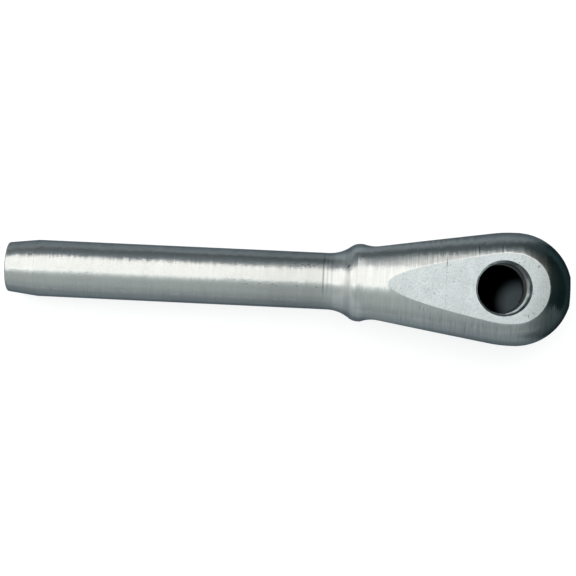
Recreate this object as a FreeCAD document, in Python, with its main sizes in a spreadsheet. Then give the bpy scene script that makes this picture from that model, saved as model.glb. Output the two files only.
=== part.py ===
import FreeCAD, Part
import math
import os
import Sketcher

# Swage fork terminal for a 3/16 in wire rope: a hollow shank that is pressed onto the rope, a collar, and a
# forked head whose two ears take a 5/16 in clevis pin. The whole of it is one bar, turned, milled and drilled.
#
# Millimetres. The origin is the pin hole's centre. +X runs along the bar's axis to the nose, +Z along the pin
# hole, and the terminal lies with one of its two milled flats down.

document = FreeCAD.newDocument("swage_fork_terminal")

# The driving dimensions, in millimetres and degrees
size_rows = [
    ("shank_dia", "9.12", "shank outside diameter, before it is pressed onto the rope"),
    ("shank_end_to_pin", "79.4", "open end of the shank to the pin hole's centre"),
    ("tip_dia", "7.94", "outside diameter at the open end"),
    ("tip_taper_length", "4.9", "length over which the open end is turned down"),
    ("tip_edge_radius", "0.3", "rounding of the open end's rim"),
    ("cable_bore_dia", "5.16", "bore that takes the rope"),
    ("cable_bore_depth", "51.08", "depth of the bore at its full diameter"),
    ("cable_bore_point", "118", "angle of the drill's point"),
    ("cable_bore_chamfer", "0.35", "chamfer of the bore's mouth"),
    ("collar_dia", "12.5", "diameter of the collar"),
    ("collar_to_pin", "23.36", "back corner of the collar to the pin hole's centre"),
    ("collar_width", "1.75", "width of the collar, from its back corner to the cone"),
    ("collar_flank", "35", "angle of the collar's back flank to the axis"),
    ("collar_root_radius", "5.8", "hollow between the shank and the flank"),
    ("collar_crest_radius", "2.4", "rounding of the collar's back corner"),
    ("cone_back_radius", "12", "hollow between the collar and the cone"),
    ("cone_front_radius", "22", "rounding between the cone and the head"),
    ("head_dia", "18.85", "diameter of the head, and of the ball that ends it"),
    ("head_land", "2.1", "straight length of the head, from the pin hole's centre to the ball's"),
    ("nose_face_dia", "7.25", "diameter of the small flat that ends the ball"),
    ("flat_height", "7.55", "axis to each milled flat, at the pin hole"),
    ("flat_lean", "2.35", "angle by which each flat rises towards the nose"),
    ("slot_width", "5.41", "gap between the two ears"),
    ("slot_bottom_to_pin", "22", "bottom of the slot to the pin hole's centre"),
    ("slot_edge_break", "0.2", "chamfer along the slot's outer edges"),
    ("pin_hole_dia", "7.94", "hole for the clevis pin"),
    ("pin_hole_chamfer", "0.42", "chamfer at each end of the pin hole"),
    ("cutter_overrun", "3", "how far a cut starts outside the metal"),
]

sizes = document.addObject("Spreadsheet::Sheet", "Sizes")
for row, (alias, number, meaning) in enumerate(size_rows, start=1):
    sizes.set(f"A{row}", alias)
    sizes.set(f"B{row}", number)
    sizes.setAlias(f"B{row}", alias)
    sizes.set(f"C{row}", meaning)
document.recompute()

terminal = document.addObject("PartDesign::Body", "Terminal")
terminal.Label = "fork_terminal"
terminal.Placement = FreeCAD.Placement()

# The points of a line or arc, and the sketch's two axes, as the sketcher numbers them
START, END, CENTRE = range(1, 4)
LONG_AXIS, CROSS_AXIS = range(-1, -3, -1)
ORIGIN = (LONG_AXIS, START)


def origin_item(role):
    """One of the body's own planes, such as XZ_Plane."""
    return next(item for item in terminal.Origin.OriginFeatures if item.Role == role)


def new_sketch(name, plane):
    """A sketch on one of the body's own planes."""
    sketch = terminal.newObject("Sketcher::SketchObject", name)
    sketch.AttachmentSupport = [(origin_item(plane), "")]
    sketch.MapMode = "FlatFace"
    return sketch


def arc_between(centre, start, end):
    """An arc that turns anticlockwise about its centre from start to end."""
    (cx, cy), (x1, y1), (x2, y2) = centre, start, end
    circle = Part.Circle(FreeCAD.Vector(cx, cy, 0), FreeCAD.Vector(0, 0, 1), math.hypot(x1 - cx, y1 - cy))
    first = math.atan2(y1 - cy, x1 - cx) % math.tau
    last = math.atan2(y2 - cy, x2 - cx) % math.tau
    return Part.ArcOfCircle(circle, first, last)


def draw_outline(sketch, corners, round_side=None, centre=None):
    """A closed outline, anticlockwise, of straight sides and at most one round side. Side 0 leaves corner 0."""
    for side, start in enumerate(corners):
        end = corners[(side + 1) % len(corners)]
        if side == round_side:
            sketch.addGeometry(arc_between(centre, start, end), False)
        else:
            sketch.addGeometry(Part.LineSegment(FreeCAD.Vector(*start, 0), FreeCAD.Vector(*end, 0)), False)
    for side in range(len(corners)):
        following = (side + 1) % len(corners)
        sketch.addConstraint(Sketcher.Constraint("Coincident", side, END, following, START))


def constrain(sketch, kind, *places):
    """A geometric constraint."""
    sketch.addConstraint(Sketcher.Constraint(kind, *places))


def dimension(sketch, name, kind, places, formula):
    """A named dimension, driven by a formula of the sheet's sizes."""
    datum = float(sketch.evalExpression(formula))
    if kind == "Angle":
        datum = math.radians(datum)
    index = sketch.addConstraint(Sketcher.Constraint(kind, *places, datum))
    sketch.renameConstraint(index, name)
    sketch.setExpression(f"Constraints.{name}", formula)


def round_corner(sketch, name, side, formula):
    """Rounds the corner where a side starts. The corner stays as a mark that keeps its own dimensions."""
    sketch.fillet(side, START, float(sketch.evalExpression(formula)), True, True)
    arc = sketch.GeometryCount - 2
    dimension(sketch, name, "Radius", (arc,), formula)


def new_feature(kind, name, profile=None, **formulas):
    """A feature of the body. Its own sizes are bound to formulas of the sheet's sizes."""
    feature = terminal.newObject(f"PartDesign::{kind}", name)
    if profile is not None:
        feature.Profile = profile
    for size_name, formula in formulas.items():
        feature.setExpression(size_name, formula)
    return feature


def size(alias):
    """The sheet's value now, to draw with and to find edges by."""
    return float(sizes.get(alias))


# The turned blank. Its half profile is drawn above the bar's axis and turned about it.
shank_end = -size("shank_end_to_pin")
shank_radius = size("shank_dia") / 2
tip_radius = size("tip_dia") / 2
collar_back = -size("collar_to_pin")
collar_front = collar_back + size("collar_width")
collar_radius = size("collar_dia") / 2
head_radius = size("head_dia") / 2
ball_centre = size("head_land")
nose_radius = size("nose_face_dia") / 2
nose_face = ball_centre + math.sqrt(head_radius**2 - nose_radius**2)
flank_foot = collar_back - (collar_radius - shank_radius) / math.tan(math.radians(size("collar_flank")))

blank_sketch = new_sketch("BlankSketch", "XZ_Plane")
AXIS_SIDE, NOSE_FACE, BALL, HEAD, CONE, COLLAR, FLANK, SHANK, TAPER, END_FACE = range(10)
draw_outline(
    blank_sketch,
    [
        (shank_end, 0),
        (nose_face, 0),
        (nose_face, nose_radius),
        (ball_centre, head_radius),
        (0, head_radius),
        (collar_front, collar_radius),
        (collar_back, collar_radius),
        (flank_foot, shank_radius),
        (shank_end + size("tip_taper_length"), shank_radius),
        (shank_end, tip_radius),
    ],
    round_side=BALL,
    centre=(ball_centre, 0),
)
for level_side in (AXIS_SIDE, HEAD, COLLAR, SHANK):
    constrain(blank_sketch, "Horizontal", level_side)
constrain(blank_sketch, "Vertical", NOSE_FACE)
constrain(blank_sketch, "Vertical", END_FACE)
constrain(blank_sketch, "PointOnObject", AXIS_SIDE, START, LONG_AXIS)
constrain(blank_sketch, "PointOnObject", BALL, CENTRE, LONG_AXIS)
constrain(blank_sketch, "Vertical", BALL, CENTRE, BALL, END)
constrain(blank_sketch, "PointOnObject", CONE, START, CROSS_AXIS)
for name, kind, places, formula in (
    ("end_to_pin", "DistanceX", (AXIS_SIDE, START, *ORIGIN), "Sizes.shank_end_to_pin"),
    ("taper_length", "DistanceX", (TAPER, END, TAPER, START), "Sizes.tip_taper_length"),
    ("tip_radius", "DistanceY", (*ORIGIN, TAPER, END), "Sizes.tip_dia / 2"),
    ("shank_radius", "DistanceY", (*ORIGIN, SHANK, START), "Sizes.shank_dia / 2"),
    ("flank_angle", "Angle", (FLANK,), "Sizes.collar_flank - 180"),
    ("collar_to_pin", "DistanceX", (COLLAR, END, *ORIGIN), "Sizes.collar_to_pin"),
    ("collar_width", "DistanceX", (COLLAR, END, COLLAR, START), "Sizes.collar_width"),
    ("collar_radius", "DistanceY", (*ORIGIN, COLLAR, START), "Sizes.collar_dia / 2"),
    ("head_radius", "DistanceY", (*ORIGIN, HEAD, START), "Sizes.head_dia / 2"),
    ("head_land", "DistanceX", (*ORIGIN, HEAD, START), "Sizes.head_land"),
    ("nose_radius", "DistanceY", (*ORIGIN, NOSE_FACE, END), "Sizes.nose_face_dia / 2"),
):
    dimension(blank_sketch, name, kind, places, formula)

# The profile's rounded corners. Two of them meet on the flank and share its length, and two meet on the collar
# and share its width, so each radius is kept within its share.
HALF_FLANK = "tan(Sizes.collar_flank / 2)"
HALF_CONE = (
    "tan(atan((Sizes.head_dia - Sizes.collar_dia) / 2 / (Sizes.collar_to_pin - Sizes.collar_width)) / 2)"
)
FLANK_LENGTH = "(Sizes.collar_dia - Sizes.shank_dia) / 2 / sin(Sizes.collar_flank)"
for name, side, formula in (
    ("root_radius", SHANK, f"min(Sizes.collar_root_radius; 0.66 * {FLANK_LENGTH} / {HALF_FLANK})"),
    (
        "crest_radius", FLANK,
        f"min(Sizes.collar_crest_radius; 0.3 * {FLANK_LENGTH} / {HALF_FLANK}; "
        f"0.45 * Sizes.collar_width / {HALF_FLANK})",
    ),
    ("cone_back_radius", COLLAR, f"min(Sizes.cone_back_radius; 0.52 * Sizes.collar_width / {HALF_CONE})"),
    ("cone_front_radius", CONE, f"min(Sizes.cone_front_radius; 0.9 * Sizes.head_land / {HALF_CONE})"),
    ("tip_edge_radius", END_FACE, "Sizes.tip_edge_radius"),
):
    round_corner(blank_sketch, name, side, formula)

blank = new_feature("Revolution", "Blank", blank_sketch)
blank.ReferenceAxis = (blank_sketch, ["H_Axis"])
document.recompute()

# The bore for the rope, drilled into the open end, with its mouth chamfered
bore_sketch = new_sketch("BoreSketch", "YZ_Plane")
bore_sketch.setExpression("AttachmentOffset.Base.z", "-Sizes.shank_end_to_pin")
bore_sketch.addGeometry(
    Part.Circle(FreeCAD.Vector(0, 0, 0), FreeCAD.Vector(0, 0, 1), size("cable_bore_dia") / 2), False
)
constrain(bore_sketch, "Coincident", 0, CENTRE, *ORIGIN)
dimension(bore_sketch, "bore_dia", "Diameter", (0,), "Sizes.cable_bore_dia")
document.recompute()
bore = new_feature("Hole", "CableBore", bore_sketch)
bore.Reversed = True
bore.DepthType = "Dimension"
bore.DrillPoint = "Angled"
bore.HoleCutType = "Countersink"
bore.HoleCutCustomValues = True
bore.HoleCutCountersinkAngle = 90
bore.setExpression("Diameter", "Sizes.cable_bore_dia")
bore.setExpression("Depth", "Sizes.cable_bore_depth")
bore.setExpression("DrillPointAngle", "Sizes.cable_bore_point")
bore.setExpression("HoleCutDiameter", "Sizes.cable_bore_dia + 2 * Sizes.cable_bore_chamfer")
document.recompute()

# The upper milled flat, cut from the collar to past the nose, and its mirror image below
cut_front = ball_centre + head_radius + size("cutter_overrun")
cut_top = head_radius + size("cutter_overrun")
flat_slope = math.tan(math.radians(size("flat_lean")))
CUT_FRONT = "Sizes.head_land + Sizes.head_dia / 2 + Sizes.cutter_overrun"

flat_sketch = new_sketch("FlatSketch", "XZ_Plane")
FLAT, FLAT_FRONT, FLAT_TOP, FLAT_BACK, FLAT_MARK = range(5)
draw_outline(
    flat_sketch,
    [
        (collar_front, size("flat_height") + collar_front * flat_slope),
        (cut_front, size("flat_height") + cut_front * flat_slope),
        (cut_front, cut_top),
        (collar_front, cut_top),
    ],
)
flat_sketch.addGeometry(Part.Point(FreeCAD.Vector(0, size("flat_height"), 0)), True)
constrain(flat_sketch, "Vertical", FLAT_FRONT)
constrain(flat_sketch, "Horizontal", FLAT_TOP)
constrain(flat_sketch, "Vertical", FLAT_BACK)
constrain(flat_sketch, "PointOnObject", FLAT_MARK, START, CROSS_AXIS)
constrain(flat_sketch, "PointOnObject", FLAT_MARK, START, FLAT)
for name, kind, places, formula in (
    ("flat_height", "DistanceY", (*ORIGIN, FLAT_MARK, START), "Sizes.flat_height"),
    ("flat_lean", "Angle", (FLAT,), "Sizes.flat_lean"),
    ("back", "DistanceX", (FLAT, START, *ORIGIN), "Sizes.collar_to_pin - Sizes.collar_width"),
    ("front", "DistanceX", (*ORIGIN, FLAT, END), CUT_FRONT),
    ("top", "DistanceY", (*ORIGIN, FLAT_TOP, START), "Sizes.head_dia / 2 + Sizes.cutter_overrun"),
):
    dimension(flat_sketch, name, kind, places, formula)
upper_flat = new_feature("Pocket", "UpperFlat", flat_sketch)
upper_flat.Type = "ThroughAll"
upper_flat.SideType = "Symmetric"
document.recompute()

both_flats = new_feature("Mirrored", "BothFlats")
both_flats.Originals = [upper_flat]
both_flats.MirrorPlane = (origin_item("XY_Plane"), [""])
terminal.Tip = both_flats
document.recompute()

# The slot between the ears, open at the nose and both sides, with a full round bottom
slot_radius = size("slot_width") / 2
slot_centre = slot_radius - size("slot_bottom_to_pin")

slot_sketch = new_sketch("SlotSketch", "XZ_Plane")
SLOT_MOUTH, SLOT_UPPER, SLOT_BOTTOM, SLOT_LOWER = range(4)
draw_outline(
    slot_sketch,
    [
        (cut_front, -slot_radius),
        (cut_front, slot_radius),
        (slot_centre, slot_radius),
        (slot_centre, -slot_radius),
    ],
    round_side=SLOT_BOTTOM,
    centre=(slot_centre, 0),
)
constrain(slot_sketch, "Vertical", SLOT_MOUTH)
constrain(slot_sketch, "Horizontal", SLOT_UPPER)
constrain(slot_sketch, "Horizontal", SLOT_LOWER)
constrain(slot_sketch, "PointOnObject", SLOT_BOTTOM, CENTRE, LONG_AXIS)
constrain(slot_sketch, "Vertical", SLOT_BOTTOM, CENTRE, SLOT_BOTTOM, START)
constrain(slot_sketch, "Vertical", SLOT_BOTTOM, CENTRE, SLOT_BOTTOM, END)
for name, kind, places, formula in (
    ("width", "DistanceY", (SLOT_MOUTH, START, SLOT_MOUTH, END), "Sizes.slot_width"),
    ("depth", "DistanceX", (SLOT_BOTTOM, CENTRE, *ORIGIN), "Sizes.slot_bottom_to_pin - Sizes.slot_width / 2"),
    ("front", "DistanceX", (*ORIGIN, SLOT_MOUTH, START), CUT_FRONT),
):
    dimension(slot_sketch, name, kind, places, formula)
slot = new_feature("Pocket", "ForkSlot", slot_sketch)
slot.Type = "ThroughAll"
slot.SideType = "Symmetric"
document.recompute()


def alike(first, second):
    """True for two numbers that are the same but for rounding."""
    return math.isclose(first, second, rel_tol=1e-6)


def is_slot_wall(face):
    """True for the slot's two flat walls and its round bottom."""
    surface = face.Surface
    if isinstance(surface, Part.Cylinder):
        return alike(abs(surface.Axis.y), 1) and alike(surface.Radius, slot_radius)
    if isinstance(surface, Part.Plane):
        return alike(abs(surface.Axis.z), 1) and alike(abs(surface.Position.z), slot_radius)
    return False


# The slot's edges on the outside, each between one of its walls and a turned surface, are broken
slot_walls = [face for face in slot.Shape.Faces if is_slot_wall(face)]
outer_edges = []
for number, edge in enumerate(slot.Shape.Edges, start=1):
    walls_beside = sum(any(edge.isSame(side) for side in wall.Edges) for wall in slot_walls)
    if walls_beside == 1:
        outer_edges.append(f"Edge{number}")
edge_break = new_feature("Chamfer", "SlotEdges", Size="Sizes.slot_edge_break")
edge_break.Base = (slot, outer_edges)
document.recompute()

# The pin hole and its two chamfers, cut as one turned form about the pin's axis
pin_radius = size("pin_hole_dia") / 2
bore_end = size("flat_height") - size("pin_hole_chamfer")
tool_end = size("flat_height") + size("cutter_overrun")
tool_radius = pin_radius + tool_end - bore_end

pin_sketch = new_sketch("PinHoleSketch", "XZ_Plane")
LOWER_END, LOWER_CHAMFER, PIN_BORE, UPPER_CHAMFER, UPPER_END, PIN_AXIS = range(6)
draw_outline(
    pin_sketch,
    [
        (0, -tool_end),
        (tool_radius, -tool_end),
        (pin_radius, -bore_end),
        (pin_radius, bore_end),
        (tool_radius, tool_end),
        (0, tool_end),
    ],
)
constrain(pin_sketch, "Horizontal", LOWER_END)
constrain(pin_sketch, "Horizontal", UPPER_END)
constrain(pin_sketch, "Vertical", PIN_AXIS)
constrain(pin_sketch, "PointOnObject", PIN_AXIS, START, CROSS_AXIS)
constrain(pin_sketch, "Symmetric", PIN_BORE, START, PIN_BORE, END, LONG_AXIS)
constrain(pin_sketch, "Symmetric", LOWER_CHAMFER, START, UPPER_CHAMFER, END, LONG_AXIS)
for name, kind, places, formula in (
    ("radius", "DistanceX", (*ORIGIN, PIN_BORE, END), "Sizes.pin_hole_dia / 2"),
    ("bore_end", "DistanceY", (*ORIGIN, PIN_BORE, END), "Sizes.flat_height - Sizes.pin_hole_chamfer"),
    ("tool_end", "DistanceY", (*ORIGIN, UPPER_END, START), "Sizes.flat_height + Sizes.cutter_overrun"),
    ("chamfer_angle", "Angle", (UPPER_CHAMFER,), "45"),
):
    dimension(pin_sketch, name, kind, places, formula)
pin_hole = new_feature("Groove", "PinHole", pin_sketch)
pin_hole.ReferenceAxis = (pin_sketch, ["V_Axis"])
document.recompute()

# Every feature worked, and the terminal is one sound solid
for item in document.Objects:
    if "Invalid" in item.State or "Error" in item.State:
        raise RuntimeError(f"{item.Name} failed: {item.State}")
if terminal.Shape.isNull() or not terminal.Shape.isValid() or len(terminal.Shape.Solids) != 1:
    raise RuntimeError("the terminal is not one valid solid")

os.makedirs("parts", exist_ok=True)
terminal.Shape.exportStep(f"parts/{terminal.Label}.step")
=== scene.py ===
import math

import bmesh
import bpy
from mathutils import Matrix, Vector


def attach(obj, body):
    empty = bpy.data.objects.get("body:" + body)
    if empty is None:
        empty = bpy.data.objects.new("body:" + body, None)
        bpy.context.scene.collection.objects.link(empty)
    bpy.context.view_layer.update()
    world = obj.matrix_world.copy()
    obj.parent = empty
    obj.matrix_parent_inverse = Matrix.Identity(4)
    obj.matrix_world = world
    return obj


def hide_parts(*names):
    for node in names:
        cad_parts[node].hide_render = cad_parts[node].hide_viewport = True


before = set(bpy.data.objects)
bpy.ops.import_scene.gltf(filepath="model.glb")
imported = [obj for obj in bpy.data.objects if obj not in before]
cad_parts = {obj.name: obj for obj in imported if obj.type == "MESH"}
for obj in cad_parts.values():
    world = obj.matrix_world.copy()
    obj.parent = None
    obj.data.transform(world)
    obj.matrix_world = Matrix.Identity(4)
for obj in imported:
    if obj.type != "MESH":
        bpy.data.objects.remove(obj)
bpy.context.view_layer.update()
MM = 0.001


# The terminal's turned blank
# One stainless bar, turned all over: a hollow shank with a tapered mouth, a collar, a long cone and a ball
# nose. The rope's bore is drilled into the shank's open end.

SHANK_RADIUS = 4.56 * MM
SHANK_END = -79.4 * MM
TIP_RADIUS = 3.97 * MM
TAPER_START = -74.5 * MM
COLLAR_RADIUS = 6.25 * MM
COLLAR_BACK = -23.36 * MM
COLLAR_FRONT = -21.61 * MM
COLLAR_FLANK = math.radians(35)
HEAD_RADIUS = 9.425 * MM
BALL_CENTRE = 2.1 * MM
NOSE_FACE_RADIUS = 3.625 * MM
BORE_RADIUS = 2.58 * MM
BORE_DEPTH = 51.08 * MM
BORE_CHAMFER = 0.35 * MM
DRILL_POINT = math.radians(59)
TIP_ROUNDING = 0.3 * MM
TAPER_ROUNDING = 0.6 * MM
ROOT_ROUNDING = 5.8 * MM
CREST_ROUNDING = 2.4 * MM
CONE_ROUNDING = 12 * MM
HEAD_ROUNDING = 22 * MM
SAME_PLACE = 0.0002 * MM


def rounded(corner, before, after, radius, steps):
    """Points of the arc that rounds a corner of the turned profile."""
    corner, before, after = Vector(corner), Vector(before), Vector(after)
    to_before, to_after = (before - corner).normalized(), (after - corner).normalized()
    half = to_before.angle(to_after) / 2
    centre = corner + (to_before + to_after).normalized() * radius / math.sin(half)
    first = corner + to_before * radius / math.tan(half) - centre
    turn = math.atan2(first.x, first.y) - math.atan2(*(corner + to_after * radius / math.tan(half) - centre))
    turn = (turn + math.pi) % math.tau - math.pi
    return [centre + Matrix.Rotation(turn * step / steps, 2) @ first for step in range(steps + 1)]


def straight(start, end, steps):
    """Points between two ends of a straight stretch, without its ends."""
    return [Vector(start).lerp(Vector(end), step / steps) for step in range(1, steps)]


flank_foot = COLLAR_BACK - (COLLAR_RADIUS - SHANK_RADIUS) / math.tan(COLLAR_FLANK)
tip_corner = (SHANK_END, TIP_RADIUS)
taper_corner = (TAPER_START, SHANK_RADIUS)
root_corner = (flank_foot, SHANK_RADIUS)
crest_corner = (COLLAR_BACK, COLLAR_RADIUS)
cone_corner = (COLLAR_FRONT, COLLAR_RADIUS)
head_corner = (0, HEAD_RADIUS)
ball_top = (BALL_CENTRE, HEAD_RADIUS)
bore_end = SHANK_END + BORE_DEPTH
face_angle = math.asin(NOSE_FACE_RADIUS / HEAD_RADIUS)
nose_x = BALL_CENTRE + HEAD_RADIUS * math.cos(face_angle)

bore_profile = [
    Vector((bore_end + BORE_RADIUS / math.tan(DRILL_POINT), 0)),
    Vector((bore_end, BORE_RADIUS)),
    *straight((bore_end, BORE_RADIUS), (SHANK_END + BORE_CHAMFER, BORE_RADIUS), 12),
    Vector((SHANK_END + BORE_CHAMFER, BORE_RADIUS)),
    Vector((SHANK_END, BORE_RADIUS + BORE_CHAMFER)),
]
root_arc = rounded(root_corner, taper_corner, crest_corner, ROOT_ROUNDING, 14)
crest_arc = rounded(crest_corner, root_corner, cone_corner, CREST_ROUNDING, 12)
back_arc = rounded(cone_corner, crest_corner, head_corner, CONE_ROUNDING, 8)
front_arc = rounded(head_corner, cone_corner, ball_top, HEAD_ROUNDING, 12)
outer_profile = [
    *rounded(tip_corner, (SHANK_END, 0), taper_corner, TIP_ROUNDING, 6),
    *rounded(taper_corner, tip_corner, root_corner, TAPER_ROUNDING, 4),
    *straight(taper_corner, root_arc[0], 24),
    *root_arc,
    *crest_arc,
    *back_arc,
    *straight(back_arc[-1], front_arc[0], 14),
    *front_arc,
    *[
        Vector((BALL_CENTRE + HEAD_RADIUS * math.sin(angle), HEAD_RADIUS * math.cos(angle)))
        for angle in [step / 40 * (math.pi / 2 - face_angle) for step in range(41)]
    ],
    Vector((nose_x, 0)),
]

blank = bmesh.new()
ring = [blank.verts.new((x, 0, r)) for x, r in bore_profile + outer_profile]
for one, next_one in zip(ring, ring[1:]):
    blank.edges.new((one, next_one))
bmesh.ops.spin(
    blank,
    geom=blank.verts[:] + blank.edges[:],
    cent=(0, 0, 0),
    axis=(1, 0, 0),
    angle=math.tau,
    steps=256,
    use_merge=True,
)
bmesh.ops.remove_doubles(blank, verts=blank.verts, dist=SAME_PLACE)
bmesh.ops.recalc_face_normals(blank, faces=blank.faces)


# The two milled flats
# Each is one pass of a face mill over the cone and head. It leans outwards to the nose, so its outline is a
# teardrop. A thin broken edge runs round it.

FLAT_HEIGHT = 7.55 * MM
FLAT_LEAN = math.radians(2.35)
RIM_WIDTH = 0.09 * MM
RIM_DROP = 0.03 * MM
HAIR = 0.01 * MM

for side in (1, -1):
    head_part = [vert for vert in blank.verts if vert.co.x > COLLAR_FRONT - HAIR]
    chosen = set(head_part)
    edges = [edge for edge in blank.edges if edge.verts[0] in chosen and edge.verts[1] in chosen]
    faces = [face for face in blank.faces if all(vert in chosen for vert in face.verts)]
    cut = bmesh.ops.bisect_plane(
        blank,
        geom=head_part + edges + faces,
        dist=SAME_PLACE / 2,
        plane_co=(0, 0, side * (FLAT_HEIGHT - RIM_DROP)),
        plane_no=(-math.sin(FLAT_LEAN), 0, side * math.cos(FLAT_LEAN)),
        clear_outer=True,
    )
    rim = [item for item in cut["geom_cut"] if isinstance(item, bmesh.types.BMEdge)]
    flat = bmesh.ops.edgeloop_fill(blank, edges=rim)["faces"]
    for face in flat:
        face.normal_update()
        if face.normal.z * side < 0:
            face.normal_flip()
    bmesh.ops.inset_region(blank, faces=flat, thickness=RIM_WIDTH, depth=RIM_DROP, use_even_offset=True)
bmesh.ops.recalc_face_normals(blank, faces=blank.faces)


def piece_from(mesh_being_made, name):
    """An object that holds a finished bmesh."""
    mesh = bpy.data.meshes.new(name)
    mesh_being_made.to_mesh(mesh)
    mesh_being_made.free()
    piece = bpy.data.objects.new(name, mesh)
    bpy.context.scene.collection.objects.link(piece)
    return piece


terminal = piece_from(blank, "terminal")


# The fork's slot and the pin hole
# The slot is milled through from the nose and ends in a full round. The pin hole is drilled through both
# ears, and its two outer rims are countersunk.

SLOT_RADIUS = 2.705 * MM
SLOT_CENTRE = -19.295 * MM
PIN_RADIUS = 3.97 * MM
PIN_CHAMFER = 0.42 * MM
OVERRUN = 3 * MM
EDGE_BREAK = 0.2 * MM
BREAKS_BEYOND_EDGE = 11
LEAST_RUN = 0.3


def turned_surface(x, z):
    """A point of the head's turned surface on the +Y side, and the outward normal there."""
    after = next(index for index in range(1, len(outer_profile)) if outer_profile[index].x >= x)
    low, high = outer_profile[after - 1], outer_profile[after]
    slope = (high.y - low.y) / (high.x - low.x)
    radius = low.y + slope * (x - low.x)
    y = math.sqrt(radius**2 - z**2)
    return Vector((x, y, z)), Vector((-slope, y / radius, z / radius)).normalized()


# The upper half of the slot's U, seen from the side: the wall from the mouth inwards, then a quarter of the
# round end
mouth = nose_x - EDGE_BREAK
wall_turns = [step / 60 * math.pi / 2 for step in range(60)]
round_turns = [step / 32 * math.pi / 2 for step in range(33)]
wall_places = [
    (mouth + (SLOT_CENTRE - mouth) * (1 - math.cos(turn)), SLOT_RADIUS) for turn in wall_turns
]
wall_places += [
    (SLOT_CENTRE - SLOT_RADIUS * math.sin(turn), SLOT_RADIUS * math.cos(turn)) for turn in round_turns
]

# The broken edge runs from a line on the wall to one on the turned surface, and the cutter goes on past it
rows = []
for x, z in wall_places:
    edge, outward = turned_surface(x, z)
    into_metal = Vector((min(x - SLOT_CENTRE, 0), 0, z)).normalized()
    along_edge = into_metal.cross(outward).normalized()
    wall_depth = EDGE_BREAK / max(math.hypot(along_edge.x, along_edge.z), LEAST_RUN)
    wall_side = edge - Vector((0, wall_depth, 0))
    outer_side = edge + (into_metal - outward * into_metal.dot(outward)).normalized() * EDGE_BREAK
    rows.append((wall_side, wall_side + (outer_side - wall_side) * BREAKS_BEYOND_EDGE))
lips = [Vector((nose_x + OVERRUN, place.y, place.z + OVERRUN + EDGE_BREAK)) for place in rows[0]]
rows.insert(0, tuple(lips))
half = len(rows)
rows += [tuple(Vector((place.x, place.y, -place.z)) for place in row) for row in reversed(rows[:-1])]

slot_cutter = bmesh.new()
columns = [
    [slot_cutter.verts.new((row[index].x, side * row[index].y, row[index].z)) for row in rows]
    for index, side in ((1, -1), (0, -1), (0, 1), (1, 1))
]
for left, right in zip(columns, columns[1:]):
    for step in range(len(rows) - 1):
        slot_cutter.faces.new((left[step], left[step + 1], right[step + 1], right[step]))
for column in (columns[0], columns[-1]):
    for step in range(half - 2):
        slot_cutter.faces.new((column[step], column[step + 1], column[-step - 2], column[-step - 1]))
    slot_cutter.faces.new((column[half - 2], column[half - 1], column[half]))
slot_cutter.faces.new([column[0] for column in columns] + [column[-1] for column in reversed(columns)])
bmesh.ops.recalc_face_normals(slot_cutter, faces=slot_cutter.faces)
slot_cutter = piece_from(slot_cutter, "slot_cutter")

drill = bmesh.new()
top = FLAT_HEIGHT + OVERRUN
wide = PIN_RADIUS + PIN_CHAMFER + OVERRUN
ring = [
    drill.verts.new(place)
    for place in (
        (0, 0, -top),
        (wide, 0, -top),
        (PIN_RADIUS, 0, PIN_CHAMFER - FLAT_HEIGHT),
        (PIN_RADIUS, 0, FLAT_HEIGHT - PIN_CHAMFER),
        (wide, 0, top),
        (0, 0, top),
    )
]
for one, next_one in zip(ring, ring[1:]):
    drill.edges.new((one, next_one))
bmesh.ops.spin(
    drill,
    geom=drill.verts[:] + drill.edges[:],
    cent=(0, 0, 0),
    axis=(0, 0, 1),
    angle=math.tau,
    steps=192,
    use_merge=True,
)
bmesh.ops.remove_doubles(drill, verts=drill.verts, dist=SAME_PLACE)
bmesh.ops.recalc_face_normals(drill, faces=drill.faces)
drill = piece_from(drill, "drill")

for cutter in (slot_cutter, drill):
    milling = terminal.modifiers.new(cutter.name, "BOOLEAN")
    milling.operation = "DIFFERENCE"
    milling.solver = "EXACT"
    milling.object = cutter
cut_terminal = terminal.evaluated_get(bpy.context.evaluated_depsgraph_get())
cut_mesh = bpy.data.meshes.new_from_object(cut_terminal)
terminal.modifiers.clear()
terminal.data = cut_mesh
for cutter in (slot_cutter, drill):
    bpy.data.objects.remove(cutter)


# Each cut surface is told apart by where it lies, so that it takes its own finish and its edges stay crisp
TURNED, MILLED, SLOT, DRILLED, COUNTERSUNK, BORE = range(6)
INSIDE_OF_EAR = 6 * MM


def finish_of(face):
    """The way a face of the terminal was cut."""
    middle, normal = face.calc_center_median(), face.normal
    from_pin = math.hypot(middle.x, middle.y)
    from_axis = math.hypot(middle.y, middle.z)
    from_slot = math.hypot(min(middle.x - SLOT_CENTRE, 0), middle.z)
    outside = abs(middle.z) > INSIDE_OF_EAR
    if middle.x < bore_end + 3 * MM and from_axis < BORE_RADIUS + BORE_CHAMFER * 0.9 and abs(normal.x) < 0.9:
        return BORE
    if from_pin < PIN_RADIUS + HAIR and abs(normal.z) < 0.1:
        return DRILLED
    if outside and from_pin < PIN_RADIUS + 0.7 * MM and 0.6 < abs(normal.z) < 0.8:
        return COUNTERSUNK
    if outside and abs(normal.z) > 0.999 * math.cos(FLAT_LEAN) and abs(normal.y) < 0.001:
        return MILLED
    if abs(from_slot - SLOT_RADIUS) < 2 * HAIR and abs(normal.y) < 0.01:
        return SLOT
    return TURNED


made = bmesh.new()
made.from_mesh(terminal.data)
for face in made.faces:
    face.material_index = finish_of(face)
    face.smooth = True
for edge in made.edges:
    if len(edge.link_faces) == 2:
        first, second = edge.link_faces
        same_finish = first.material_index == second.material_index
        edge.smooth = same_finish and edge.calc_face_angle() < math.radians(30)
made.to_mesh(terminal.data)
made.free()

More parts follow.
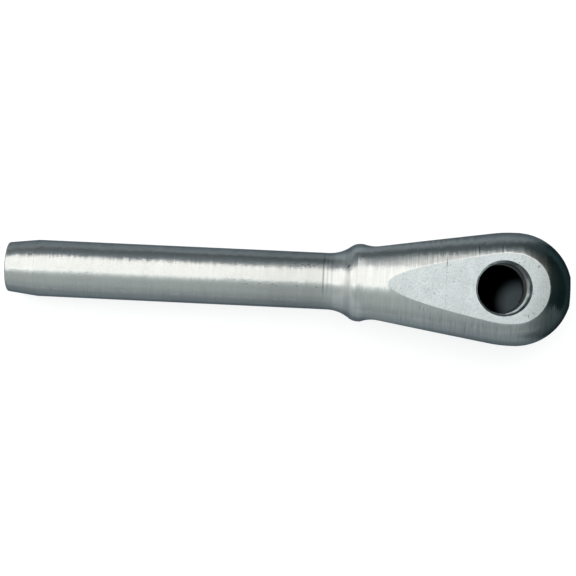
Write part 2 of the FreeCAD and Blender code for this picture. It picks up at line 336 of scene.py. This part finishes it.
# How far the surface is turned from facing straight up or down, for the painted shade that darkens the steel
# down its sides
painted_side_shade = terminal.data.attributes.new("painted_side_shade", "FLOAT", "POINT")
for vert in terminal.data.vertices:
    painted_side_shade.data[vert.index].value = 1 - abs(vert.normal.z)


# The steel's finishes
# Bare stainless steel: lathe lines round the turned parts, a fine grain on the flats, and the rings, knocks
# and scratches that are left on both.


def steel(name, colour, roughness, anisotropic=0.0):
    """A bare stainless finish, with the shader's constant sockets set."""
    made = bpy.data.materials.new(name)
    made.use_nodes = True
    shader = made.node_tree.nodes["Principled BSDF"]
    shader.inputs["Base Color"].default_value = (*colour, 1)
    shader.inputs["Metallic"].default_value = 1
    shader.inputs["Roughness"].default_value = roughness
    shader.inputs["Anisotropic"].default_value = anisotropic
    shader.inputs["Specular Tint"].default_value = (0.30, 0.32, 0.34, 1)
    return made, shader


def calc(tree, operation, one, other=0.0):
    """A sum on two numbers, each of them plain or from another node."""
    node = tree.nodes.new("ShaderNodeMath")
    node.operation = operation
    for socket, value in zip(node.inputs, (one, other)):
        if isinstance(value, (int, float)):
            socket.default_value = value
        else:
            tree.links.new(value, socket)
    return node.outputs[0]


def eased(tree, source, start, end, low=0.0, high=1.0):
    """A smooth change from one level to another."""
    node = tree.nodes.new("ShaderNodeMapRange")
    node.interpolation_type = "SMOOTHSTEP"
    for socket, value in zip(("From Min", "From Max", "To Min", "To Max"), (start, end, low, high)):
        node.inputs[socket].default_value = value
    tree.links.new(source, node.inputs["Value"])
    return node.outputs[0]


def grain(tree, place, fineness, detail=2.0):
    """Noise that can be finer one way than another. The fineness is in grains a metre along X, Y and Z."""
    stretch = tree.nodes.new("ShaderNodeVectorMath")
    stretch.operation = "MULTIPLY"
    stretch.inputs[1].default_value = fineness
    tree.links.new(place, stretch.inputs[0])
    noise = tree.nodes.new("ShaderNodeTexNoise")
    noise.inputs["Scale"].default_value = 1
    noise.inputs["Detail"].default_value = detail
    tree.links.new(stretch.outputs[0], noise.inputs["Vector"])
    return noise.outputs["Fac"]


def mark(tree, place, centre, size, turn=0.0):
    """A soft mask of one ring, knock or scratch, or of a painted patch of light, its centre and half size in
    millimetres.
    """
    node = tree.nodes.new("ShaderNodeMapping")
    node.vector_type = "TEXTURE"
    node.inputs["Location"].default_value = [number * MM for number in centre]
    node.inputs["Rotation"].default_value = (0, 0, math.radians(turn))
    node.inputs["Scale"].default_value = [number * MM for number in size]
    tree.links.new(place, node.inputs["Vector"])
    reach = tree.nodes.new("ShaderNodeVectorMath")
    reach.operation = "LENGTH"
    tree.links.new(node.outputs[0], reach.inputs[0])
    return eased(tree, reach.outputs["Value"], 0.35, 1, 1, 0)


def band(tree, source, rise, fall):
    """A mask that rises between one pair of levels and falls between the next."""
    return calc(tree, "MULTIPLY", eased(tree, source, *rise), eased(tree, source, *fall, 1, 0))


def swing(tree, noise, amount):
    """Noise made into a change to both sides of nought."""
    return calc(tree, "MULTIPLY", calc(tree, "SUBTRACT", noise, 0.5), amount)


def darkened(tree, tone, mask, depth):
    """A tone made darker where a mask is."""
    return calc(tree, "MULTIPLY", tone, calc(tree, "SUBTRACT", 1.0, calc(tree, "MULTIPLY", mask, depth)))


def object_place(tree):
    """The place on the object, whole and as its X, Y and Z."""
    place = tree.nodes.new("ShaderNodeTexCoord").outputs["Object"]
    apart = tree.nodes.new("ShaderNodeSeparateXYZ")
    tree.links.new(place, apart.inputs[0])
    return place, apart.outputs


def new_group(name, outputs):
    """An empty shared effect and its output node."""
    tree = bpy.data.node_groups.new(name, "ShaderNodeTree")
    for label, kind in outputs:
        tree.interface.new_socket(label, in_out="OUTPUT", socket_type=kind)
    return tree, tree.nodes.new("NodeGroupOutput")


def use_group(tree, group):
    """A shared effect placed in a material."""
    node = tree.nodes.new("ShaderNodeGroup")
    node.node_tree = group
    return node


# Rings, knocks and scratches on the turned surface and the flats alike: centre and half size in millimetres,
# turn in degrees, and how much each one darkens
EVERYWHERE = 1000
MARKS = (
    ((-28.2, 1, 0), (0.22, 4.8, EVERYWHERE), 0, 0.42),
    ((-27.55, 1, 0), (0.14, 4.8, EVERYWHERE), 0, 0.22),
    ((-26.85, 1, 0), (0.2, 4.8, EVERYWHERE), 0, 0.18),
    ((-24.4, 0, 0), (0.7, EVERYWHERE, EVERYWHERE), 0, 0.12),
    ((-22.9, 0, 0), (0.13, EVERYWHERE, EVERYWHERE), 0, 0.12),
    ((-74.6, 0, 0), (0.12, EVERYWHERE, EVERYWHERE), 0, 0.1),
    ((-8.85, 3.7, 6.5), (0.11, 1.1, 9), 0, 0.55),
    ((-8.85, 0, 6.5), (0.09, 9, 9), 0, 0.16),
    ((-3.91, 5.9, 7), (0.12, 1.0, 9), 0, 0.5),
    ((-3.91, 5, 7), (0.08, 6, 9), 0, 0.14),
    ((-0.22, 6.1, 7), (0.12, 0.9, 9), 0, 0.5),
    ((-5.6, -6.5, 5), (0.08, 1.4, 9), 0, 0.35),
    ((-12.8, -3.6, 6), (0.07, 0.5, 9), 4, 0.45),
    ((-12.2, -3.8, 6), (0.06, 0.45, 9), -3, 0.4),
    ((-11.5, -3.9, 6), (0.07, 0.5, 9), 0, 0.45),
    ((-9.9, -4.4, 6), (0.06, 0.5, 9), 3, 0.35),
    ((-24.25, 2.4, 5), (0.55, 0.18, 2.5), 56, 0.62),
    ((-24.65, 2.75, 5), (0.35, 0.11, 2.5), 50, 0.34),
    ((-23.7, 1.95, 5), (0.42, 0.13, 2.5), 35, 0.4),
    ((-23.35, 2.5, 5), (0.42, 0.12, 2.5), 85, 0.4),
    ((-22.45, 3.6, 5), (0.4, 0.13, 2.5), 72, 0.45),
    ((-22.05, 4.1, 5), (0.42, 0.13, 2.5), 12, 0.45),
    ((-32.3, 2.1, 4), (0.4, 0.11, 2.5), -6, 0.4),
    ((-31.5, 2.3, 4), (0.45, 0.13, 2.5), -15, 0.6),
    ((-31.15, 2.1, 4), (0.3, 0.12, 2.5), 40, 0.6),
    ((-30.6, 2.4, 4), (0.4, 0.13, 2.5), 15, 0.6),
    ((-30.35, 2.1, 4), (0.32, 0.11, 2.5), -50, 0.55),
    ((-29.8, 2.25, 4), (0.4, 0.12, 2.5), -20, 0.5),
    ((-29.3, 2.45, 4), (0.3, 0.11, 2.5), 25, 0.45),
    ((-29.2, -1.15, 4), (0.28, 0.12, 2.5), -20, 0.5),
    ((-32.35, -1.1, 4), (0.3, 0.12, 2.5), -25, 0.5),
    ((-35.7, -1.1, 4), (0.25, 0.1, 2.5), -30, 0.45),
    ((-36.2, -0.95, 4), (0.35, 0.13, 2.5), 12, 0.5),
    ((-38.3, -0.97, 4), (0.4, 0.1, 2.5), 8, 0.42),
    ((-40.4, -1.1, 4), (0.5, 0.1, 2.5), -5, 0.4),
    ((-63.6, 0.75, 4), (0.16, 0.09, 2.5), 0, 0.4),
    ((5.4, 3.7, 7.8), (0.42, 0.1, 2.5), 25, 0.55),
    ((5.3, 3.5, 7.8), (0.36, 0.09, 2.5), -30, 0.5),
    ((4.1, -4.2, 7.8), (0.1, 0.45, 2.5), 20, 0.6),
    ((4.75, -3.65, 7.8), (0.07, 0.7, 2.5), 35, 0.35),
    ((5.0, -3.8, 7.8), (0.06, 0.6, 2.5), 38, 0.3),
    ((1.2, -5.9, 7.8), (0.5, 0.07, 2.5), 12, 0.3),
    ((-8.3, 3.3, 7.4), (0.16, 0.13, 2.5), 0, 0.3),
)
knocks, result = new_group("knocks", [("Tone", "NodeSocketFloat")])
place, at = object_place(knocks)
tone = 1.0
for centre, size, turn, depth in MARKS:
    tone = darkened(knocks, tone, mark(knocks, place, centre, size, turn), depth)
knocks.links.new(tone, result.inputs["Tone"])

# The lathe's own lines. Their tone runs in rings, and the small lean of the surface makes bright edges
# ragged. The shank has shallow pits as well.
outputs = [("Tone", "NodeSocketFloat"), ("Normal", "NodeSocketVector")]
lathe_lines, result = new_group("lathe_lines", outputs)
place, at = object_place(lathe_lines)
fine = grain(lathe_lines, place, (5200, 230, 230), 3)
broad = grain(lathe_lines, place, (700, 90, 90), 2)
fleck = grain(lathe_lines, place, (1500, 2600, 2600), 1)
pits = eased(lathe_lines, grain(lathe_lines, place, (3200, 5600, 5600), 1), 0.52, 0.63)
clusters = eased(lathe_lines, grain(lathe_lines, place, (130, 500, 500), 1), 0.40, 0.56)
on_shank = eased(lathe_lines, at["X"], -29 * MM, -26 * MM, 1, 0)
pits = calc(lathe_lines, "MULTIPLY", pits, calc(lathe_lines, "MULTIPLY", clusters, on_shank))
streaks = eased(lathe_lines, at["X"], -24 * MM, -12 * MM, 0.2, 0.6)
tone = swing(lathe_lines, fine, streaks)
tone = calc(lathe_lines, "ADD", tone, swing(lathe_lines, broad, 0.16))
tone = calc(lathe_lines, "ADD", tone, swing(lathe_lines, fleck, 0.10))
tone = darkened(lathe_lines, calc(lathe_lines, "ADD", tone, 1.0), pits, 0.08)
lathe_lines.links.new(tone, result.inputs["Tone"])
lean = swing(lathe_lines, fine, 0.24)
lean = calc(lathe_lines, "ADD", lean, swing(lathe_lines, fleck, 0.08))
away_from_top = eased(lathe_lines, at["Y"], -0.2 * MM, 1 * MM, 0.04, -0.04)
lean = calc(lathe_lines, "ADD", lean, calc(lathe_lines, "MULTIPLY", pits, away_from_top))
surface = lathe_lines.nodes.new("ShaderNodeNewGeometry")
round_bar = lathe_lines.nodes.new("ShaderNodeVectorMath")
round_bar.operation = "CROSS_PRODUCT"
round_bar.inputs[0].default_value = (1, 0, 0)
lathe_lines.links.new(surface.outputs["Normal"], round_bar.inputs[1])
leaning = lathe_lines.nodes.new("ShaderNodeVectorMath")
leaning.operation = "SCALE"
lathe_lines.links.new(round_bar.outputs[0], leaning.inputs[0])
lathe_lines.links.new(lean, leaning.inputs["Scale"])
tipped = lathe_lines.nodes.new("ShaderNodeVectorMath")
lathe_lines.links.new(surface.outputs["Normal"], tipped.inputs[0])
lathe_lines.links.new(leaning.outputs[0], tipped.inputs[1])
unit = lathe_lines.nodes.new("ShaderNodeVectorMath")
unit.operation = "NORMALIZE"
lathe_lines.links.new(tipped.outputs[0], unit.inputs[0])
lathe_lines.links.new(unit.outputs[0], result.inputs["Normal"])


def toned(tree, shader, colour, *tones):
    """Joins a colour, plain or from a node, and the tones that darken or lighten it, to a shader."""
    for tone in tones:
        node = tree.nodes.new("ShaderNodeVectorMath")
        node.operation = "SCALE"
        if isinstance(colour, tuple):
            node.inputs[0].default_value = colour
        else:
            tree.links.new(colour, node.inputs[0])
        tree.links.new(tone, node.inputs["Scale"])
        colour = node.outputs[0]
    tree.links.new(colour, shader.inputs["Base Color"])


# Turned steel, brightest along the top, with painted shade that makes it darker down its sides and painted
# light on the collar
TURNED_BRIGHT = (0.43, 0.425, 0.41)
TURNED_SHADED_SIDE = (0.175, 0.20, 0.21)
TURNED_ROUGHNESS = 0.33
NOSE_ROUGHNESS = 0.2
COLLAR_FADE = (-29 * MM, -24 * MM)
turned, shader = steel("turned_steel", TURNED_BRIGHT, TURNED_ROUGHNESS, 0.7)
tree = turned.node_tree
place, at = object_place(tree)
along_bar = tree.nodes.new("ShaderNodeCombineXYZ")
along_bar.inputs["X"].default_value = 1
tree.links.new(along_bar.outputs[0], shader.inputs["Tangent"])
attribute = tree.nodes.new("ShaderNodeAttribute")
attribute.attribute_name = "painted_side_shade"
side = attribute.outputs["Fac"]
# Painted shade: the colour turns from the top's to a darker one down the sides
colours = tree.nodes.new("ShaderNodeMix")
colours.data_type = "RGBA"
tree.links.new(eased(tree, side, 0.12, 0.42), colours.inputs["Factor"])
colours.inputs[6].default_value = (*TURNED_BRIGHT, 1)
colours.inputs[7].default_value = (*TURNED_SHADED_SIDE, 1)
# More painted shade down the shank's and head's sides; shank_front only makes one stretch of the shank a
# little darker
shank_side_shade = band(tree, side, (0.25, 0.36), (0.46, 0.6))
shank_side_shade = calc(tree, "MULTIPLY", shank_side_shade, eased(tree, at["X"], *COLLAR_FADE, 1, 0))
head_side_shade = calc(tree, "MULTIPLY", eased(tree, side, 0.44, 0.58), eased(tree, at["X"], *COLLAR_FADE))
shank_front = band(tree, at["X"], (-46 * MM, -34 * MM), (-29 * MM, -27.5 * MM))
sides = 1.0
for mask, depth in ((shank_side_shade, 0.13), (head_side_shade, 0.18), (shank_front, 0.1)):
    sides = darkened(tree, sides, mask, depth)
# Painted light: the collar is made lighter away from its top
on_collar = band(tree, at["X"], (-27.2 * MM, -26 * MM), (-22.6 * MM, -21.4 * MM))
collar_painted_light = calc(tree, "MULTIPLY", on_collar, eased(tree, side, 0.08, 0.22, 0, 0.28))
collar_side_light = calc(tree, "ADD", collar_painted_light, 1.0)
lines = use_group(tree, lathe_lines).outputs
knock_tone = use_group(tree, knocks).outputs["Tone"]
toned(tree, shader, colours.outputs[2], lines["Tone"], knock_tone, sides, collar_side_light)
tree.links.new(lines["Normal"], shader.inputs["Normal"])
polish = eased(tree, at["X"], 6.0 * MM, 7.6 * MM, TURNED_ROUGHNESS, NOSE_ROUGHNESS)
tree.links.new(polish, shader.inputs["Roughness"])

# Milled steel of the flats: a fine even grain with a few specks, and painted shade that makes it a little
# darker towards the nose
MILLED_GREY = (0.348, 0.367, 0.368)
milled, shader = steel("milled_steel", MILLED_GREY, 0.42)
tree = milled.node_tree
place, at = object_place(tree)
fine = eased(tree, grain(tree, place, (5200, 3600, 3600), 2), 0.3, 0.7, 0.9, 1.1)
cloudy = eased(tree, grain(tree, place, (420, 300, 300), 2), 0.3, 0.7, 0.95, 1.05)
specks = eased(tree, grain(tree, place, (2300, 2300, 2300), 1), 0.66, 0.74, 1, 0.72)
# Painted shade: the flats darken towards the nose
nose_painted_shade = eased(tree, at["X"], 1 * MM, 9 * MM, 1, 0.66)
side_fade = eased(tree, at["Y"], -8 * MM, 8 * MM, 0.93, 1.03)
knock_tone = use_group(tree, knocks).outputs["Tone"]
toned(tree, shader, MILLED_GREY, fine, cloudy, specks, nose_painted_shade, side_fade, knock_tone)

# The slot's walls, with the mill's streaks, and painted shade that makes them darker close to the pin hole
SLOT_GREY = (0.26, 0.28, 0.28)
slot_steel, shader = steel("slot_steel", SLOT_GREY, 0.45)
tree = slot_steel.node_tree
place, at = object_place(tree)
squares = [calc(tree, "MULTIPLY", at[letter], at[letter]) for letter in "XY"]
from_pin = calc(tree, "SQRT", calc(tree, "ADD", *squares))
streaks = eased(tree, grain(tree, place, (2600, 120, 2600), 2), 0.3, 0.7, 0.85, 1.12)
# Painted shade: the walls darken close to the pin hole
toned(tree, shader, SLOT_GREY, streaks, eased(tree, from_pin, 4.4 * MM, 5.6 * MM, 0.3, 1))

# The drilled hole's wall, with the drill's rings, and painted light and shade: pale near the upper rim on
# one side and dark deeper down
DRILLED_PAINTED_LIGHT_GREY = (0.74, 0.76, 0.74)
drilled, shader = steel("drilled_steel", DRILLED_PAINTED_LIGHT_GREY, 0.5)
shader.inputs["Metallic"].default_value = 0.1
tree = drilled.node_tree
place, at = object_place(tree)
rings = eased(tree, grain(tree, place, (300, 300, 6000), 2), 0.3, 0.7, 0.85, 1.1)
# Painted shade deeper down, and painted light on the low side of the hole
deep_painted_shade = eased(tree, at["Z"], 1.5 * MM, 6 * MM, 0.05, 1)
low_side_painted_light = eased(tree, at["Y"], -3.6 * MM, 4.4 * MM, 1.3, 0.05)
toned(tree, shader, DRILLED_PAINTED_LIGHT_GREY, rings, deep_painted_shade, low_side_painted_light)

# The countersunk rims, with painted light that makes them brighter to the shank and a painted highlight
# along the inner edge towards the nose
COUNTERSUNK_GREY = (0.09, 0.10, 0.10)
countersunk, shader = steel("countersunk_steel", COUNTERSUNK_GREY, 0.3)
tree = countersunk.node_tree
place, at = object_place(tree)
to_nose = eased(tree, at["X"], -1 * MM, 2.5 * MM)
low_side_painted_light = eased(tree, at["Y"], -3.6 * MM, 3.6 * MM, 1, 0)
# Painted highlight along the inner edge towards the nose, on the low side
inner_edge_highlight = eased(tree, at["Z"], 7.26 * MM, 7.38 * MM, 6, 0)
inner_edge_highlight = calc(tree, "MULTIPLY", inner_edge_highlight, calc(tree, "MULTIPLY", to_nose, low_side_painted_light))
inner_edge_highlight = calc(tree, "ADD", inner_edge_highlight, 1.0)
flecks = eased(tree, grain(tree, place, (900, 900, 900), 2), 0.3, 0.7, 0.6, 1.5)
# Painted light: the rims are made brighter towards the shank
toward_shank_light = eased(tree, at["X"], -3.6 * MM, 0.5 * MM, 5, 1)
toned(tree, shader, COUNTERSUNK_GREY, flecks, toward_shank_light, inner_edge_highlight)

# The rope's bore, with the drill's rings
BORE_GREY = (0.2, 0.2, 0.2)
bored, shader = steel("bored_steel", BORE_GREY, 0.5)
tree = bored.node_tree
place, at = object_place(tree)
rings = eased(tree, grain(tree, place, (4000, 200, 200), 2), 0.3, 0.7, 0.8, 1.2)
toned(tree, shader, BORE_GREY, rings)

for finish in (turned, milled, slot_steel, drilled, countersunk, bored):
    terminal.data.materials.append(finish)

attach(terminal, "root")
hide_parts("fork_terminal")


# The table, the lamp and the camera
# The terminal lies on the nose end of its lower flat and on the shank, where the taper starts. The camera
# looks down on it.

FLAT_NOSE_HEIGHT = 7.85 * MM
shank_touch = Vector((TAPER_START, 0, -SHANK_RADIUS))
flat_front = BALL_CENTRE + math.sqrt(HEAD_RADIUS**2 - FLAT_NOSE_HEIGHT**2)
head_touch = Vector((flat_front, 0, -FLAT_HEIGHT - flat_front * math.tan(FLAT_LEAN)))
table_lean = math.atan2(shank_touch.z - head_touch.z, head_touch.x - shank_touch.x)

table = bmesh.new()
bmesh.ops.create_circle(table, cap_ends=True, radius=2, segments=96)
bmesh.ops.rotate(table, verts=table.verts, cent=(0, 0, 0), matrix=Matrix.Rotation(table_lean, 3, "Y"))
bmesh.ops.translate(table, verts=table.verts, vec=shank_touch)
table = piece_from(table, "table")
white = bpy.data.materials.new("white_table")
white.use_nodes = True
tree = white.node_tree
tree.nodes.clear()

# The table is dark under the head but for one lit patch, so that the pin hole looks dark as in the picture
# The dark under the head is painted shadow, and the lit patch is painted light
place, at = object_place(tree)
from_pin = tree.nodes.new("ShaderNodeVectorMath")
from_pin.operation = "LENGTH"
tree.links.new(place, from_pin.inputs[0])
outside_painted_shadow = eased(tree, from_pin.outputs["Value"], 9.1 * MM, 9.6 * MM)
painted_light_patch = mark(tree, place, (3.5, -1.9, -8), (4.3, 4.3, 9))
paint = tree.nodes.new("ShaderNodeBsdfDiffuse")
whites = []
for mask, colour in ((outside_painted_shadow, (0.3, 0.3, 0.3)), (painted_light_patch, (0.23, 0.28, 0.31))):
    white_part = tree.nodes.new("ShaderNodeVectorMath")
    white_part.operation = "SCALE"
    white_part.inputs[0].default_value = colour
    tree.links.new(mask, white_part.inputs["Scale"])
    whites.append(white_part.outputs[0])
shade = tree.nodes.new("ShaderNodeVectorMath")
shade.operation = "MAXIMUM"
tree.links.new(whites[0], shade.inputs[0])
tree.links.new(whites[1], shade.inputs[1])
tree.links.new(shade.outputs[0], paint.inputs["Color"])
glow = tree.nodes.new("ShaderNodeEmission")
rays = tree.nodes.new("ShaderNodeLightPath")
seen = calc(tree, "MAXIMUM", rays.outputs["Is Camera Ray"], rays.outputs["Is Glossy Ray"])
seen = calc(tree, "MAXIMUM", seen, rays.outputs["Is Transmission Ray"])
# The glow stops in the painted shadow under the head as well
pale = calc(tree, "MULTIPLY", calc(tree, "MULTIPLY", seen, 0.74), outside_painted_shadow)
tree.links.new(pale, glow.inputs["Strength"])
both = tree.nodes.new("ShaderNodeAddShader")
tree.links.new(paint.outputs[0], both.inputs[0])
tree.links.new(glow.outputs[0], both.inputs[1])
out = tree.nodes.new("ShaderNodeOutputMaterial")
tree.links.new(both.outputs[0], out.inputs["Surface"])
table.data.materials.append(white)

LAMP_DISTANCE = 0.6
LAMP_WIDTH = 1.15
LAMP_LENGTH = 1.714
LAMP_RADIANCE = 1.92
lamp_data = bpy.data.lights.new("overhead_lamp", "AREA")
lamp_data.shape = "RECTANGLE"
lamp_data.size = LAMP_LENGTH
lamp_data.size_y = LAMP_WIDTH
lamp_data.energy = LAMP_RADIANCE * math.pi * LAMP_WIDTH * LAMP_LENGTH
lamp_data.color = (1, 0.98, 0.945)
lamp = bpy.data.objects.new("overhead_lamp", lamp_data)
lamp_turn = Matrix.Rotation(math.radians(-33.5), 4, "X") @ Matrix.Rotation(math.radians(-13), 4, "Y")
over_shank = Matrix.Translation((-30 * MM, 0, 0))
lamp.matrix_world = over_shank @ lamp_turn @ Matrix.Translation((0, 0, LAMP_DISTANCE))
bpy.context.scene.collection.objects.link(lamp)


def card(name, corners, colour, top_colour=None):
    """A matt card that stands just outside the picture and darkens what the bright metal mirrors."""
    made = bmesh.new()
    made.faces.new([made.verts.new(corner) for corner in corners])
    made = piece_from(made, name)
    matt = bpy.data.materials.new(name)
    matt.use_nodes = True
    matt_shader = matt.node_tree.nodes["Principled BSDF"]
    matt_shader.inputs["Base Color"].default_value = (*colour, 1)
    matt_shader.inputs["Roughness"].default_value = 1
    matt_shader.inputs["Specular IOR Level"].default_value = 0
    if top_colour:
        tree = matt.node_tree
        place, at = object_place(tree)
        mix = tree.nodes.new("ShaderNodeMix")
        mix.data_type = "RGBA"
        mix.inputs[6].default_value = (*colour, 1)
        mix.inputs[7].default_value = (*top_colour, 1)
        tree.links.new(eased(tree, at["Z"], 0.002, 0.032), mix.inputs["Factor"])
        tree.links.new(mix.outputs[2], matt_shader.inputs["Base Color"])
    made.data.materials.append(matt)
    made.visible_camera = False
    made.visible_diffuse = False
    made.visible_shadow = False


def upright(start, end, start_top, end_top):
    """The corners of a card that stands between two places."""
    return [(*start, CARD_LEVEL), (*end, CARD_LEVEL), (*end, end_top), (*start, start_top)]


def lying(*places):
    """The corners of a card that lies level."""
    return [(*place, CARD_LEVEL) for place in places]


# The cards stand and lie just above the table, behind the bar and past its nose. Places are X and Y in
# metres.
CARD_LEVEL = -7.8 * MM
BLACK = (0.012, 0.03, 0.03)
DARK = (0.18, 0.21, 0.21)
shank_back = (-0.16, 0.05)
head_back = (0.012, 0.05)
head_front = (0.0125, -0.006)
nose_back = (0.034, 0.053)
nose_front = (0.034, -0.014)
far_back = (0.08, 0.06)
far_front = (0.08, -0.03)
grey_outline = [
    (*shank_back, CARD_LEVEL),
    (*head_back, CARD_LEVEL),
    (*head_back, 0.008),
    (-0.016, 0.05, 0.012),
    (-0.026, 0.05, 0.032),
    (-0.031, 0.05, 0.048),
    (-0.066, 0.05, 0.039),
    (*shank_back, 0.036),
]
card("grey_card", grey_outline, (0.215, 0.275, 0.315), (0.34, 0.445, 0.55))
for name, corners, colour in (
    ("slate_card", upright(head_back, nose_back, 0.028, 0.045), (0.075, 0.095, 0.10)),
    ("black_card_side", upright(nose_back, far_back, 0.045, 0.05), (0.012, 0.022, 0.022)),
    ("slate_card_flat", lying(head_front, nose_front, nose_back, (0.0125, 0.05)), (0.085, 0.135, 0.14)),
    ("black_card_flat", lying(nose_front, far_front, far_back, nose_back), BLACK),
    ("black_card_upright", upright(far_front, far_back, 0.05, 0.05), BLACK),
    ("dark_card_flat", lying((0.0125, -0.09), (0.08, -0.09), far_front, head_front), DARK),
    ("dark_card_upright", upright(far_front, (0.08, -0.14), 0.012, 0.012), DARK),
):
    card(name, corners, colour)

# The room that the metal mirrors: a window side, a bright strip high up in it, an open end and a dark end
world = bpy.data.worlds.new("room")
bpy.context.scene.world = world
world.use_nodes = True
tree = world.node_tree
parts = tree.nodes.new("ShaderNodeSeparateXYZ")
tree.links.new(tree.nodes.new("ShaderNodeTexCoord").outputs["Generated"], parts.inputs[0])
x, y, z = parts.outputs
window = calc(tree, "MULTIPLY", eased(tree, y, -0.16, -0.02, 1, 0), eased(tree, z, 0, 0.75, 0.6, 1))
window_top = calc(tree, "MULTIPLY", band(tree, y, (-0.55, -0.2), (-0.16, -0.06)), eased(tree, z, 0.6, 0.8))
open_end = calc(tree, "MULTIPLY", eased(tree, x, -0.9, -0.75, 1, 0), eased(tree, z, 0.1, 0.3))
dark_end = calc(tree, "MULTIPLY", eased(tree, x, 0.2, 0.5), eased(tree, y, -0.8, -0.35, 0.75, 1))
room = (0.33, 0.42, 0.46, 1)
for mask, colour in (
    (window, (0.74, 0.83, 0.84, 1)),
    (window_top, (1.1, 1.26, 1.3, 1)),
    (open_end, (0.95, 0.98, 0.96, 1)),
    (dark_end, (0.035, 0.085, 0.083, 1)),
):
    mix = tree.nodes.new("ShaderNodeMix")
    mix.data_type = "RGBA"
    tree.links.new(mask, mix.inputs["Factor"])
    if isinstance(room, tuple):
        mix.inputs[6].default_value = room
    else:
        tree.links.new(room, mix.inputs[6])
    mix.inputs[7].default_value = colour
    room = mix.outputs[2]
tree.links.new(room, tree.nodes["Background"].inputs["Color"])

# The camera looks from about 300 mm, with the picture's scale taken at the bar's axis
CAMERA_DISTANCE = 300 * MM
PIXELS_PER_MM = 6.218
PICTURE_WIDTH = 576
SENSOR_WIDTH = 36
AIM_ALONG = -33.957 * MM
AIM_ACROSS = -1.39 * MM
bar_tilt = math.radians(3.2)
bar_turn = math.radians(2.71)
bar_roll = math.radians(0.9)
along = Vector((math.cos(bar_tilt), 0, -math.sin(bar_tilt)))
across = Vector((0, 1, 0))
towards = along.cross(across)
across, towards = (
    across * math.cos(bar_roll) + towards * math.sin(bar_roll),
    towards * math.cos(bar_roll) - across * math.sin(bar_roll),
)
right = along * math.cos(bar_turn) + across * math.sin(bar_turn)
up = across * math.cos(bar_turn) - along * math.sin(bar_turn)
aim = Vector((AIM_ALONG, 0, 0)) + across * AIM_ACROSS
camera_data = bpy.data.cameras.new("camera")
camera_data.sensor_width = SENSOR_WIDTH
camera_data.lens = PIXELS_PER_MM / MM * CAMERA_DISTANCE / PICTURE_WIDTH * SENSOR_WIDTH
camera_data.clip_start = 0.01
camera_data.clip_end = 10
camera = bpy.data.objects.new("camera", camera_data)
facing = Matrix((right, up, towards)).transposed().to_4x4()
camera.matrix_world = Matrix.Translation(aim + towards * CAMERA_DISTANCE) @ facing
bpy.context.scene.collection.objects.link(camera)
bpy.context.scene.camera = camera
bpy.context.scene.view_settings.view_transform = "Standard"
